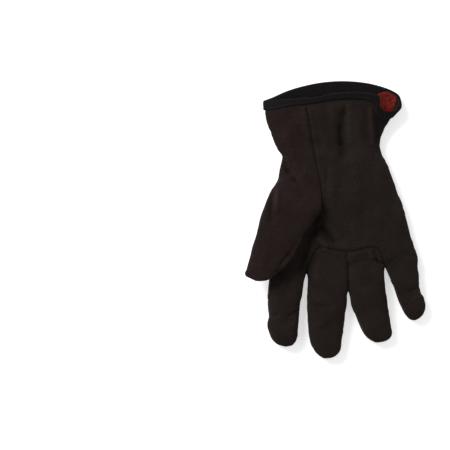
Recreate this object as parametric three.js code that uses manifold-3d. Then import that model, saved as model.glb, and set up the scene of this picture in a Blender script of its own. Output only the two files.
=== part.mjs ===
// A cotton work glove for the right hand, lying on its back with the palm up.
// It is sewn from four panels of brown jersey, a black tape that binds the cuff's edge,
// and a red fleece lining that shows inside the cuff.
// Millimetres. +X points away from the thumb, +Y out of the cuff, +Z up.

import * as THREE from "three";
import { mergeVertices } from "three/addons/utils/BufferGeometryUtils.js";
import Module from "manifold-3d";

const wasm = await Module();
wasm.setup();

// Cloth
const WALL = 2.2; // jersey with its brushed inner face
const SEAM_GAP = 0.3; // between two panels at a seam
const TAPE = 1; // the binding's own cloth
const BINDING_WIDTH = 7.5;
const LINING = 1.2;

// Hand, from the elastic at the wrist (y = 0) down to the knuckles
const PALM_LENGTH = 112;
const PALM_WIDTH = 130;
const PALM_DEPTH = 19;
const SEAM_HEIGHT = 7; // the side seams' height over the table

// Cuff, from the elastic up to its rim
const CUFF_LENGTH = 57;
const CUFF_WIDTH = 125;
const CUFF_DEPTH = 22;
const CUFF_THUMB_SIDE = -65.5; // x of the rim's corner on the thumb's side
const THUMB_WAIST = 0.35; // the cuff narrows behind its rim evenly at 1, sooner above it
const LITTLE_WAIST = 1.7;

// Shirring that the elastic makes in the back of the wrist
const GATHER_DEPTH = 4.2;
const GATHER_SPREAD = 0.013; // half width of one valley, as a share of a turn

const HAND_SIDES = 48;
const DIGIT_SIDES = 16;
const SIDE_ROUNDNESS = 0.8; // 1 makes a section's sides elliptical, less makes them fuller
const CROWN = 0.72; // the same for its top
const UNDERSIDE = 1.35; // how soon the underside meets the table

const table = (columns, ...rows) =>
  rows.map((row) => Object.fromEntries(row.map((value, i) => [columns[i], value])));

// Sections of the palm. along is a share of PALM_LENGTH; thumb_side and little_side are
// shares of PALM_WIDTH from the middle; the heights are shares of PALM_DEPTH, and fill
// closes the palm over its end, between the fingers.
const PALM = table(
  ["along", "thumb_side", "little_side", "thumb_height", "little_height", "fill", "gather"],
  [0, 0.41, 0.309, 0.86, 0.86, 1, 1],
  [0.05, 0.388, 0.314, 0.88, 0.87, 1, 0.85],
  [0.1, 0.37, 0.327, 0.92, 0.88, 1, 0.65],
  [0.2, 0.387, 0.368, 0.99, 0.9, 1, 0.38],
  [0.3, 0.402, 0.4, 1.02, 0.93, 1, 0.18],
  [0.39, 0.414, 0.428, 1, 0.95, 1, 0],
  [0.49, 0.428, 0.458, 0.86, 0.96, 1, 0],
  [0.63, 0.443, 0.498, 0.68, 0.96, 1, 0],
  [0.78, 0.45, 0.54, 0.66, 0.92, 1, 0],
  [0.88, 0.45, 0.565, 0.68, 0.87, 1, 0],
  [0.94, 0.445, 0.566, 0.7, 0.83, 0.94, 0],
  [0.98, 0.435, 0.562, 0.71, 0.8, 0.7, 0],
  [1, 0.425, 0.555, 0.72, 0.79, 0.35, 0],
);

// The cuff's rim, one row for each twentieth of a turn, from the little finger's side over
// the palm to the thumb's side and back under. across is a share of CUFF_WIDTH from the
// thumb's side, out a share of CUFF_LENGTH from the elastic, height a share of CUFF_DEPTH.
const RIM = table(
  ["across", "out", "height"],
  [0.992, 0.665, 0.36],
  [0.957, 0.52, 0.53],
  [0.888, 0.5, 0.7],
  [0.826, 0.66, 0.86],
  [0.76, 0.828, 0.96],
  [0.635, 0.852, 1],
  [0.489, 0.813, 1],
  [0.348, 0.773, 0.95],
  [0.215, 0.742, 0.84],
  [0.085, 0.71, 0.65],
  [0, 0.68, 0.39],
  [0.066, 0.757, 0.12],
  [0.185, 0.859, 0.02],
  [0.304, 0.933, 0],
  [0.422, 0.98, 0],
  [0.541, 1, 0],
  [0.659, 0.995, 0],
  [0.77, 0.965, 0.01],
  [0.872, 0.918, 0.04],
  [0.96, 0.832, 0.15],
);

// Valleys of the shirring: where each one is, as a share of a turn, and how deep.
const GATHERS = table(
  ["turn", "depth"],
  [0.583, 0.6],
  [0.625, 0.85],
  [0.667, 1],
  [0.708, 0.8],
  [0.75, 1],
  [0.792, 0.9],
  [0.833, 1],
  [0.875, 0.75],
  [0.917, 0.5],
);

// Dents in the palm's side, each along a line. x is a share of PALM_WIDTH, y of
// PALM_LENGTH and measured from the elastic towards the cuff; reach and depth in mm.
const DENTS = table(
  ["x0", "y0", "x1", "y1", "reach", "depth"],
  [0.045, 0.24, 0.055, -0.08, 5, 4.5], // pulled in by the elastic, over the middle of the wrist
  [-0.35, -0.18, -0.255, -0.38, 6, 2], // across the ball of the thumb
  [-0.1, -0.66, -0.01, -0.81, 5, 2.5], // from the thumb's crotch over the palm
  [0.29, 0.05, 0.305, 0.28, 5, 3], // beside the flare on the little finger's side
);

// Digits. x and y are the root, inside the palm; splay is the lean from -Y, in degrees.
const INDEX = { x: -43.4, y: -85, splay: -1.6, length: 99.8, width: 30.5, depth: 15.5 };
const MIDDLE = { x: -7.4, y: -86.9, splay: -0.7, length: 108.6, width: 33.3, depth: 16.5 };
const RING = { x: 25.9, y: -88.7, splay: 7.4, length: 93.2, width: 32.3, depth: 16 };
const LITTLE = { x: 56.4, y: -90.6, splay: 12.3, length: 72.4, width: 24, depth: 14.5 };
const THUMB = { x: -24, y: -19.4, splay: -25.3, length: 115.2, width: 40.7, depth: 13.5 };
const THUMB_LIFT = 14; // the thumb's underside over the table, where it crosses the index
const THUMB_ROLL = 0.12; // slope across the thumb, down towards its outer edge

// Sections of the digits. along is a share of the length, thumb_side and little_side of the
// width, and top and under of the depth.
const DIGIT_COLUMNS = ["along", "thumb_side", "little_side", "top", "under"];
const INDEX_SECTIONS = table(
  DIGIT_COLUMNS,
  [0, 0.46, 0.46, 0.74, 0],
  [0.15, 0.5, 0.5, 0.8, 0],
  [0.3, 0.533, 0.542, 0.82, 0],
  [0.4, 0.54, 0.49, 0.88, 0],
  [0.5, 0.545, 0.435, 0.95, 0],
  [0.6, 0.545, 0.385, 1, 0],
  [0.72, 0.5, 0.358, 0.95, 0],
  [0.82, 0.524, 0.36, 0.98, 0],
  [0.917, 0.4, 0.336, 0.92, 0.03],
  [0.963, 0.26, 0.27, 0.81, 0.12],
  [0.99, 0.13, 0.18, 0.68, 0.26],
  [1, 0.05, 0.09, 0.56, 0.38],
);
const MIDDLE_SECTIONS = table(
  DIGIT_COLUMNS,
  [0, 0.5, 0.5, 0.8, 0],
  [0.14, 0.52, 0.57, 0.87, 0],
  [0.26, 0.53, 0.6, 0.93, 0],
  [0.383, 0.539, 0.585, 1, 0],
  [0.45, 0.535, 0.525, 1, 0],
  [0.536, 0.525, 0.485, 1, 0],
  [0.655, 0.5, 0.463, 0.97, 0],
  [0.79, 0.468, 0.432, 0.93, 0],
  [0.877, 0.43, 0.408, 0.88, 0.03],
  [0.936, 0.34, 0.365, 0.8, 0.1],
  [0.974, 0.23, 0.27, 0.7, 0.2],
  [1, 0.09, 0.13, 0.55, 0.36],
);
const RING_SECTIONS = table(
  DIGIT_COLUMNS,
  [0, 0.5, 0.48, 0.8, 0],
  [0.2, 0.56, 0.49, 0.88, 0],
  [0.35, 0.61, 0.458, 0.96, 0],
  [0.45, 0.63, 0.44, 1, 0],
  [0.52, 0.595, 0.434, 1, 0],
  [0.64, 0.565, 0.443, 0.98, 0],
  [0.795, 0.44, 0.458, 0.93, 0],
  [0.87, 0.375, 0.458, 0.89, 0.02],
  [0.93, 0.275, 0.443, 0.82, 0.08],
  [0.975, 0.155, 0.355, 0.7, 0.2],
  [1, 0.04, 0.21, 0.56, 0.36],
);
const LITTLE_SECTIONS = table(
  DIGIT_COLUMNS,
  [0, 0.6, 0.6, 0.84, 0],
  [0.2, 0.66, 0.62, 0.93, 0],
  [0.34, 0.61, 0.55, 1, 0],
  [0.447, 0.54, 0.497, 1, 0],
  [0.53, 0.49, 0.455, 0.98, 0],
  [0.62, 0.45, 0.437, 0.95, 0],
  [0.68, 0.425, 0.48, 0.95, 0],
  [0.74, 0.405, 0.555, 0.97, 0],
  [0.87, 0.32, 0.49, 0.9, 0.03],
  [0.93, 0.25, 0.39, 0.82, 0.1],
  [0.97, 0.17, 0.275, 0.73, 0.2],
  [1, 0.06, 0.08, 0.58, 0.36],
);
const THUMB_SECTIONS = table(
  DIGIT_COLUMNS,
  [0, 0.4, 0.4, 0, -0.72],
  [0.12, 0.45, 0.48, 0.22, -0.75],
  [0.2, 0.49, 0.56, 0.5, -0.62],
  [0.26, 0.525, 0.615, 0.72, -0.32],
  [0.32, 0.552, 0.612, 0.86, -0.08],
  [0.4, 0.535, 0.597, 0.95, 0],
  [0.5, 0.497, 0.578, 1, 0],
  [0.6, 0.452, 0.57, 1, 0],
  [0.7, 0.402, 0.545, 0.98, 0],
  [0.78, 0.376, 0.512, 0.96, 0],
  [0.85, 0.348, 0.435, 0.93, 0.02],
  [0.91, 0.325, 0.33, 0.88, 0.06],
  [0.95, 0.302, 0.235, 0.82, 0.12],
  [0.98, 0.255, 0.1, 0.74, 0.2],
  [1, 0.17, -0.02, 0.62, 0.34],
);

// Seams in plan, as shares of PALM_WIDTH and PALM_LENGTH from the middle of the elastic.
const THUMB_SEAM = table(
  ["x", "y"],
  [-0.225, 0.8],
  [-0.209, 0.41],
  [-0.185, 0.2],
  [-0.15, 0],
  [-0.12, -0.19],
  [-0.103, -0.35],
  [-0.103, -0.46],
  [-0.107, -0.51],
);
const CREASE_SEAM = table(
  ["x", "y"],
  [-0.225, -1.9],
  [-0.206, -1.15],
  [-0.2, -1.02],
  [-0.17, -0.91],
  [-0.145, -0.86],
  [-0.1, -0.836],
  [-0.03, -0.857],
  [0.085, -0.872],
  [0.155, -0.86],
  [0.228, -0.838],
  [0.289, -0.857],
  [0.315, -0.92],
  [0.343, -0.99],
  [0.362, -1.07],
  [0.4, -1.25],
  [0.445, -1.42],
  [0.46, -1.9],
);

// Geometry helpers

function toSolid(geometry) {
  const bare = geometry.clone();
  bare.deleteAttribute("normal");
  bare.deleteAttribute("uv");
  const merged = mergeVertices(bare, 1e-4);
  const vertProperties = merged.attributes.position.array;
  const triVerts = new Uint32Array(merged.index.array);
  return new wasm.Manifold(new wasm.Mesh({ numProp: 3, vertProperties, triVerts }));
}

// The crumbs that a cut leaves where two skins nearly touch are not part of a panel.
function largestBody(solid) {
  return solid.decompose().reduce((a, b) => (a.volume() > b.volume() ? a : b));
}

function toGeometry(solid) {
  const mesh = largestBody(solid).getMesh();
  const geometry = new THREE.BufferGeometry();
  geometry.setAttribute("position", new THREE.BufferAttribute(mesh.vertProperties, 3));
  geometry.setIndex(new THREE.BufferAttribute(mesh.triVerts, 1));
  const flat = geometry.toNonIndexed();
  flat.computeVertexNormals();
  return flat;
}

// The faces between two rings of points, given by their first points. Each quad is split
// along its shorter diagonal, so that two skins a little apart are split alike.
function skin(points, near, far, sides) {
  return Array.from({ length: sides }, (_, i) => {
    const next = (i + 1) % sides;
    const [a, b, c, d] = [near + i, near + next, far + next, far + i];
    const along = points[a].distanceTo(points[c]);
    const back = points[b].distanceTo(points[d]);
    return along < back ? [a, b, c, a, c, d] : [a, b, d, b, c, d];
  }).flat();
}

function solidOf(points, faces) {
  const geometry = new THREE.BufferGeometry().setFromPoints(points);
  geometry.setIndex(faces);
  return toSolid(geometry);
}

// A solid over rings of points, each end closed over its middle.
function loft(rings) {
  const sides = rings[0].length;
  const middle = (ring) =>
    ring.reduce((sum, p) => sum.add(p), new THREE.Vector3()).divideScalar(sides);
  const points = [...rings.flat(), middle(rings[0]), middle(rings.at(-1))];
  const [firstCap, lastCap] = [points.length - 2, points.length - 1];
  const lastRing = (rings.length - 1) * sides;
  const faces = rings.slice(1).flatMap((_, r) => skin(points, r * sides, (r + 1) * sides, sides));
  for (let i = 0; i < sides; i++) {
    const next = (i + 1) % sides;
    faces.push(firstCap, next, i, lastCap, lastRing + i, lastRing + next);
  }
  return solidOf(points, faces);
}

// A hoop whose profile runs through rings of points and back to the first.
function hoop(rings) {
  const sides = rings[0].length;
  const points = rings.flat();
  const faces = rings.flatMap((_, r) =>
    skin(points, r * sides, ((r + 1) % rings.length) * sides, sides),
  );
  return solidOf(points, faces);
}

// A section in its own plane, from its little-finger side over the top and back under.
function outline(sides, s) {
  return Array.from({ length: sides }, (_, i) => {
    const angle = (2 * Math.PI * i) / sides;
    const side = Math.sign(Math.cos(angle)) * Math.abs(Math.cos(angle)) ** SIDE_ROUNDNESS;
    const rise = Math.abs(Math.sin(angle)) ** CROWN;
    const across = side > 0 ? side * s.little_side : side * s.thumb_side;
    const top = THREE.MathUtils.lerp(s.thumb_top, s.little_top, (side + 1) / 2);
    const up = s.seam + (top - s.seam) * rise;
    const down = s.seam - (s.seam - s.under) * Math.min(1, rise * UNDERSIDE);
    return new THREE.Vector2(across, Math.sin(angle) >= 0 ? up : down);
  });
}

// How far each point of a closed outline moves when the outline grows all round by a distance.
// The points keep their share of the way from the middle, so no two of them ever cross.
function spread(points, distance) {
  const box = new THREE.Box2().setFromPoints(points);
  const middle = box.getCenter(new THREE.Vector2());
  const half = box.getSize(new THREE.Vector2()).divideScalar(2);
  return points.map((p) => p.clone().sub(middle).divide(half).multiplyScalar(distance));
}

// An upright wall under a closed outline in plan, used to cut panels apart.
function prism(points, low, high) {
  const shape = new THREE.Shape(points);
  const block = new THREE.ExtrudeGeometry(shape, { depth: high - low, bevelEnabled: false });
  return toSolid(block.translate(0, 0, low));
}

// The hand

function dentAt(x, y) {
  const point = new THREE.Vector3(x, y, 0);
  return DENTS.reduce((sum, dent) => {
    const line = new THREE.Line3(
      new THREE.Vector3(dent.x0 * PALM_WIDTH, dent.y0 * PALM_LENGTH, 0),
      new THREE.Vector3(dent.x1 * PALM_WIDTH, dent.y1 * PALM_LENGTH, 0),
    );
    const nearest = line.closestPointToPoint(point, true, new THREE.Vector3());
    return sum + dent.depth * Math.exp(-((nearest.distanceTo(point) / dent.reach) ** 2));
  }, 0);
}

// How far the cloth of the back is pulled up off the table at one place of a turn.
function gatherAt(turn) {
  return GATHERS.reduce(
    (sum, g) => sum + g.depth * Math.exp(-(((turn - g.turn) / GATHER_SPREAD) ** 2)),
    0,
  );
}

// A ring is a plain section and the same section with its folds. It grows as the plain one
// does, so that the walls of a fold don't cross when the cloth's inner face is made.
function grown(ring, distance) {
  const flat = ring.plain.map((p) => new THREE.Vector2(p.x, p.z));
  const shifts = spread(flat, distance);
  return ring.folded.map((p, i) => new THREE.Vector3(p.x + shifts[i].x, p.y, p.z + shifts[i].y));
}

// Dents go into the upper side of a ring and gathers into its underside, least at its edges.
function foldRing(plain, dentShare, gatherShare) {
  return plain.map((p, i) => {
    const turn = i / HAND_SIDES;
    const upward = Math.max(0, Math.sin(2 * Math.PI * turn));
    const dent = dentShare * upward * dentAt(p.x, p.y);
    const lift = gatherShare * GATHER_DEPTH * gatherAt(turn);
    return new THREE.Vector3(p.x, p.y, p.z - dent + lift);
  });
}

function plainPalmRing(row) {
  const top = (share) => SEAM_HEIGHT + (share * PALM_DEPTH - SEAM_HEIGHT) * row.fill;
  const section = {
    thumb_side: row.thumb_side * PALM_WIDTH,
    little_side: row.little_side * PALM_WIDTH,
    thumb_top: top(row.thumb_height),
    little_top: top(row.little_height),
    seam: SEAM_HEIGHT,
    under: SEAM_HEIGHT * (1 - row.fill),
  };
  const y = -row.along * PALM_LENGTH;
  return outline(HAND_SIDES, section).map((p) => new THREE.Vector3(p.x, y, p.y));
}

function palmRing(row) {
  const plain = plainPalmRing(row);
  return { plain, folded: foldRing(plain, 1, row.gather) };
}

const RIM_LIFT = SEAM_GAP + TAPE; // the binding lies on the table, under the back's rim
const rimCurve = new THREE.CatmullRomCurve3(
  RIM.map(
    (row) =>
      new THREE.Vector3(
        CUFF_THUMB_SIDE + row.across * CUFF_WIDTH,
        row.out * CUFF_LENGTH,
        RIM_LIFT + row.height * CUFF_DEPTH,
      ),
  ),
  true,
);
const rim = Array.from({ length: HAND_SIDES }, (_, i) => {
  const point = rimCurve.getPoint(i / HAND_SIDES);
  return point.setZ(Math.max(point.z, RIM_LIFT));
});
const wrist = plainPalmRing(PALM[0]);

// A ring of the cuff. shareOf gives the share of the way from rim to wrist at each side, from
// the length of that way; a share below 0 lies beyond the rim.
function cuffRing(shareOf) {
  const ways = rim.map((start, i) => start.distanceTo(wrist[i]));
  const shares = ways.map(shareOf);
  const plain = rim.map((start, i) => {
    const share = shares[i];
    const pastTape = (share * ways[i] - BINDING_WIDTH) / BINDING_WIDTH;
    const lowest = RIM_LIFT * (1 - THREE.MathUtils.clamp(pastTape, 0, 1));
    const across = (start.x - CUFF_THUMB_SIDE) / CUFF_WIDTH;
    const waist = THREE.MathUtils.lerp(THUMB_WAIST, LITTLE_WAIST, across);
    const narrowed = share > 0 ? share * (waist - (waist - 1) * share) : share;
    return new THREE.Vector3(
      THREE.MathUtils.lerp(start.x, wrist[i].x, narrowed),
      THREE.MathUtils.lerp(start.y, wrist[i].y, share),
      Math.max(lowest, THREE.MathUtils.lerp(start.z, wrist[i].z, narrowed)),
    );
  });
  const middleShare = Math.max(0, shares[Math.round(HAND_SIDES / 4)]);
  const folded = foldRing(plain, Math.min(1, middleShare * 3), middleShare ** 2);
  return { plain, folded };
}

// Rings of the cuff stand at the rim, at the tape's edge and at these shares from there to
// the elastic. The lining ends at the last of them.
const CUFF_STATIONS = [0, 0.25, 0.5, 0.72, 0.9];
const station = (t) => cuffRing((way) => THREE.MathUtils.lerp(BINDING_WIDTH / way, 1, t));
const behindRim = (distance) => cuffRing((way) => distance / way);
const OPEN_END = 30; // how far a hollow is carried out past the rim, to leave it open

function handSolid(grow) {
  const rings = [
    behindRim(0),
    ...CUFF_STATIONS.map(station),
    ...PALM.filter((row) => grow >= 0 || row.fill > 0.9).map(palmRing),
  ].map((ring) => grown(ring, grow));
  // The cloth's cut edge is square, so the hollow and the outside share a ring there.
  const edge = grown(behindRim(0), -WALL);
  const first = grow < 0 ? edge.map((p) => new THREE.Vector3(p.x, p.y + OPEN_END, p.z)) : edge;
  return loft([first, ...rings]);
}

// The digits

function digitSolid(digit, sections, grow, lift = 0, roll = 0) {
  const lean = THREE.MathUtils.degToRad(digit.splay);
  const ahead = new THREE.Vector2(Math.sin(lean), -Math.cos(lean));
  const beside = new THREE.Vector2(Math.cos(lean), Math.sin(lean));
  const thin = -2.7 * grow; // a hollow stops where the digit gets too slim to hold it
  const rows = sections.filter(
    (row) =>
      (row.thumb_side + row.little_side) * digit.width > thin &&
      (row.top - row.under) * digit.depth > thin,
  );
  return loft(
    rows.map((row) => {
      const under = lift + row.under * digit.depth;
      const top = lift + row.top * digit.depth;
      const section = {
        thumb_side: row.thumb_side * digit.width,
        little_side: row.little_side * digit.width,
        thumb_top: top,
        little_top: top,
        seam: lift ? (top + under) / 2 : SEAM_HEIGHT,
        under,
      };
      const along = row.along * digit.length + grow * (2 * row.along - 1);
      const flat = outline(DIGIT_SIDES, section);
      const shifts = spread(flat, grow);
      return flat.map((p, i) => {
        const across = p.x + shifts[i].x;
        const up = p.y + shifts[i].y;
        return new THREE.Vector3(
          digit.x + ahead.x * along + beside.x * across,
          digit.y + ahead.y * along + beside.y * across,
          up + roll * across,
        );
      });
    }),
  );
}

const thumbSolid = (grow) => digitSolid(THUMB, THUMB_SECTIONS, grow, THUMB_LIFT, THUMB_ROLL);

function bodySolid(grow) {
  return handSolid(grow)
    .add(digitSolid(INDEX, INDEX_SECTIONS, grow))
    .add(digitSolid(MIDDLE, MIDDLE_SECTIONS, grow))
    .add(digitSolid(RING, RING_SECTIONS, grow))
    .add(digitSolid(LITTLE, LITTLE_SECTIONS, grow));
}

// The whole glove's cloth, before it is cut into panels along its seams
const cloth = bodySolid(0)
  .add(thumbSolid(0))
  .subtract(bodySolid(-WALL).add(thumbSolid(-WALL)));

// Cutting along the seams

const FAR = 400; // beyond every edge of the glove
const inPlan = (rows) =>
  rows.map((row) => new THREE.Vector2(row.x * PALM_WIDTH, row.y * PALM_LENGTH));
const block = (low, high) =>
  prism(
    [[-FAR, -FAR], [FAR, -FAR], [FAR, FAR], [-FAR, FAR]].map(([x, y]) => new THREE.Vector2(x, y)),
    low,
    high,
  );

const half = SEAM_GAP / 2;

// Where the thumb leaves the palm: a line across the thumb through the end of its seam.
const thumbLean = THREE.MathUtils.degToRad(THUMB.splay);
const acrossThumb = new THREE.Vector2(Math.cos(thumbLean), Math.sin(thumbLean));
const alongThumb = new THREE.Vector2(Math.sin(thumbLean), -Math.cos(thumbLean));

// The part of the glove that the thumb's panel takes, grown by half a seam or shrunk by it.
function thumbRegion(grow) {
  const seam = inPlan(THUMB_SEAM).map((p) => new THREE.Vector2(p.x + grow, p.y));
  const crotch = seam.at(-1).clone().addScaledVector(alongThumb, grow);
  const outside = crotch.clone().addScaledVector(acrossThumb, -FAR);
  const strip = prism(
    [...seam.slice(0, -1), crotch, outside, new THREE.Vector2(-FAR, FAR)],
    SEAM_HEIGHT,
    FAR,
  );
  const tipSide = prism(
    [
      crotch.clone().addScaledVector(acrossThumb, FAR),
      outside,
      outside.clone().addScaledVector(alongThumb, FAR),
      crotch.clone().addScaledVector(acrossThumb, FAR).addScaledVector(alongThumb, FAR),
    ].map((p) => p.addScaledVector(alongThumb, -SEAM_GAP)),
    SEAM_HEIGHT,
    FAR,
  );
  return strip.add(thumbSolid(grow + SEAM_GAP).intersect(tipSide));
}

function fingerRegion(grow) {
  const middleX = 0.1 * PALM_WIDTH;
  const points = inPlan(CREASE_SEAM).map(
    (p) => new THREE.Vector2(p.x + Math.sign(p.x - middleX) * grow, p.y + grow),
  );
  return prism(points, SEAM_HEIGHT, FAR);
}

const backPanel = cloth.intersect(block(-FAR, SEAM_HEIGHT - half));
const upper = cloth.intersect(block(SEAM_HEIGHT + half, FAR));
const thumbPanel = upper.intersect(thumbRegion(-half));
const fingerPanel = upper.subtract(thumbRegion(half)).intersect(fingerRegion(-half));
const palmPanel = upper.subtract(thumbRegion(half)).subtract(fingerRegion(half));

// The cuff's trim

const INNER = -WALL - SEAM_GAP; // where a trim lies against the cloth's inner face
const AROUND = SEAM_GAP + TAPE;

// The tape's profile: down the outside of the cloth, up against it, over its edge and back.
const binding = hoop(
  [
    [AROUND, -AROUND],
    [AROUND, BINDING_WIDTH],
    [SEAM_GAP, BINDING_WIDTH],
    [SEAM_GAP, 0],
    [SEAM_GAP, -SEAM_GAP],
    [INNER, -SEAM_GAP],
    [INNER, 0],
    [INNER, BINDING_WIDTH],
    [INNER - TAPE, BINDING_WIDTH],
    [INNER - TAPE, -AROUND],
  ].map(([grow, behind]) => grown(behindRim(behind), grow)),
);

const liningRings = [
  behindRim(BINDING_WIDTH + SEAM_GAP),
  ...CUFF_STATIONS.slice(1).map(station),
];
const lining = hoop([
  ...liningRings.map((ring) => grown(ring, INNER)),
  ...liningRings.map((ring) => grown(ring, INNER - LINING)).reverse(),
]);

// Materials and the assembly

const jersey = new THREE.MeshStandardMaterial({ color: 0x2a2120, roughness: 0.95, metalness: 0 });
const tape = new THREE.MeshStandardMaterial({ color: 0x131213, roughness: 0.9, metalness: 0 });
const fleece = new THREE.MeshStandardMaterial({ color: 0x8f1d16, roughness: 1, metalness: 0 });

const glove = new THREE.Group();
for (const [name, solid, material] of [
  ["back_panel", backPanel, jersey],
  ["palm_panel", palmPanel, jersey],
  ["middle_finger_panel", fingerPanel, jersey],
  ["thumb_panel", thumbPanel, jersey],
  ["cuff_binding", binding, tape],
  ["cuff_lining", lining, fleece],
]) {
  const mesh = new THREE.Mesh(toGeometry(solid), material);
  mesh.name = name;
  glove.add(mesh);
}

// The origin is on the table, under the middle of the glove.
const box = new THREE.Box3().setFromObject(glove);
const middle = box.getCenter(new THREE.Vector3());
glove.position.set(-middle.x, -middle.y, -box.min.z);

export default glove;
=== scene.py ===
# %% [markdown]
# # A cotton work glove on a white table
# The glove is a soft jersey bag for a hand. It lies on its back, so the palm looks up and the
# thumb is folded over the index finger. Four panels of brown jersey are sewn together, a black
# tape binds the open end, and red fleece shows inside the cuff.
# A CAD model of it is already there and fixes every size. This lesson puts the real cloth over
# that model: fine folds, sewn seams, stitches and finishes that a CAD model can't hold.

import math

import bpy
import numpy as np
from mathutils.kdtree import KDTree
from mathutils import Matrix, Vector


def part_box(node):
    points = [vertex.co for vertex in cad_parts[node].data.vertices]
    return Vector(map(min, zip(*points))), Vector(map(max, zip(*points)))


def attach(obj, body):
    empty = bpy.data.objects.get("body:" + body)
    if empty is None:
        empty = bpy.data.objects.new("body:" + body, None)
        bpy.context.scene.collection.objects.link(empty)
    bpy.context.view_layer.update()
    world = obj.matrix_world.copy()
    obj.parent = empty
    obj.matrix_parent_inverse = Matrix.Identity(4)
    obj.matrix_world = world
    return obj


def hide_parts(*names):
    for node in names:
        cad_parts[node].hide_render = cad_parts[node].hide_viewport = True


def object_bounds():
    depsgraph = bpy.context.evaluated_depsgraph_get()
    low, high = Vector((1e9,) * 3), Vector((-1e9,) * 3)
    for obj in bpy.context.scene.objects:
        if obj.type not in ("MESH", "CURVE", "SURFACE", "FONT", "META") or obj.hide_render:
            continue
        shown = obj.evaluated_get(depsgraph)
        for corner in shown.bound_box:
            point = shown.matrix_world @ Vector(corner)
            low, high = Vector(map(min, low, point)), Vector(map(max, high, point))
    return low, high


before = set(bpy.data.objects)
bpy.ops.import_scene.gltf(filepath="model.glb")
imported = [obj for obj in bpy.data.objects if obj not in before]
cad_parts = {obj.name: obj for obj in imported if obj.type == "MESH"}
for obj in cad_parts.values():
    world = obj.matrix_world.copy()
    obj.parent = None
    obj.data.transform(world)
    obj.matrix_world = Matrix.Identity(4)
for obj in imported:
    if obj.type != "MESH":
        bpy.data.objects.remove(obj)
cad_box = [list(corner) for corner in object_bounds()]
size = [round((high - low) * 1000, 1) for low, high in zip(*cad_box)]
print("the CAD glove measures", size, "mm, in", len(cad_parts), "pieces")

# %% [markdown]
# ## The camera
# The photograph looks straight down. The glove is on the right of the picture, so the camera
# stands over the picture's middle and not over the glove, which gives the same slight side view
# of the glove. Look through it early: every later choice is judged from here.

# %% Put the camera over the table
lens = bpy.data.cameras.new("camera")
lens.lens = 85
lens.sensor_width = 36
camera = bpy.data.objects.new("camera", lens)
camera.location = (-0.1001, -0.0051, 0.978)
bpy.context.scene.collection.objects.link(camera)
bpy.context.scene.camera = camera
print("the camera stands", camera.location.z, "m over the table")

# %% [markdown]
# ## The glove's shape as tables
# A sewn glove has no flat faces, so it is drawn as sections, as a boat is. Each row below is one
# section, and its numbers are shares of a few sizes. They are the CAD model's tables, brought a
# millimetre or two closer to the photograph at the rim, the thumb and the fingers. Here a smooth
# curve runs through the rows instead of straight lines.

# %% The driving sizes, in millimetres
WALL = 2.2  # jersey with its brushed inner face
SEAM_GAP = 0.3
TAPE = 1.0
BINDING_WIDTH = 7.5
LINING = 1.2
PALM_LENGTH, PALM_WIDTH, PALM_DEPTH = 112, 130, 19
SEAM_HEIGHT = 7
CUFF_LENGTH, CUFF_WIDTH, CUFF_DEPTH = 57, 125, 22
CUFF_THUMB_SIDE = -65.5
THUMB_WAIST, LITTLE_WAIST = 0, 1.8
GATHER_DEPTH, GATHER_SPREAD = 4.2, 0.013
SIDE_ROUNDNESS, CROWN, UNDERSIDE = 0.8, 0.72, 1.35
RIM_LIFT = SEAM_GAP + TAPE
print("a jersey wall of", WALL, "mm")

# %% Sections of the palm, the rim, the gathers and the dents
# along, thumb side, little side, thumb height, little height, fill, gather
PALM = [
    [0, 0.431, 0.309, 0.86, 0.86, 1, 1],
    [0.05, 0.408, 0.314, 0.88, 0.87, 1, 0.85],
    [0.1, 0.376, 0.327, 0.92, 0.88, 1, 0.65],
    [0.2, 0.397, 0.368, 0.99, 0.9, 1, 0.38],
    [0.3, 0.409, 0.4, 1.02, 0.93, 1, 0.18],
    [0.39, 0.414, 0.428, 1, 0.95, 1, 0],
    [0.49, 0.428, 0.465, 0.86, 0.96, 1, 0],
    [0.63, 0.443, 0.495, 0.68, 0.96, 1, 0],
    [0.78, 0.45, 0.535, 0.66, 0.92, 1, 0],
    [0.88, 0.45, 0.565, 0.68, 0.87, 1, 0],
    [0.94, 0.445, 0.566, 0.7, 0.83, 0.94, 0],
    [0.98, 0.435, 0.562, 0.71, 0.8, 0.7, 0],
    [1, 0.425, 0.555, 0.72, 0.79, 0.35, 0],
]
# across, out, height, each a twentieth of a turn from the little finger's side
RIM = [
    [0.987, 0.69, 0.36], [0.975, 0.54, 0.53], [0.875, 0.493, 0.7], [0.823, 0.574, 0.86],
    [0.806, 0.735, 0.96], [0.64, 0.782, 1], [0.489, 0.76, 1], [0.348, 0.709, 0.95],
    [0.215, 0.686, 0.84], [0.085, 0.676, 0.65], [0, 0.67, 0.39], [0.066, 0.742, 0.12],
    [0.185, 0.859, 0.02], [0.304, 0.933, 0], [0.422, 0.98, 0], [0.541, 1, 0],
    [0.659, 0.995, 0], [0.77, 0.965, 0.01], [0.872, 0.907, 0.04], [0.96, 0.815, 0.15],
]
GATHERS = [
    [0.583, 0.6], [0.625, 0.85], [0.667, 1], [0.708, 0.8], [0.75, 1],
    [0.792, 0.9], [0.833, 1], [0.875, 0.75], [0.917, 0.5],
]
# x0, y0, x1, y1 as shares of the palm; reach and depth in millimetres
DENTS = [
    [0.045, 0.24, 0.055, -0.08, 5, 4.5],
    [-0.35, -0.18, -0.255, -0.38, 6, 2],
    [-0.1, -0.66, -0.01, -0.81, 5, 2.5],
    [0.29, 0.05, 0.305, 0.28, 5, 3],
]
print(len(PALM), "palm sections,", len(RIM), "points on the rim,", len(DENTS), "dents")

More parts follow.
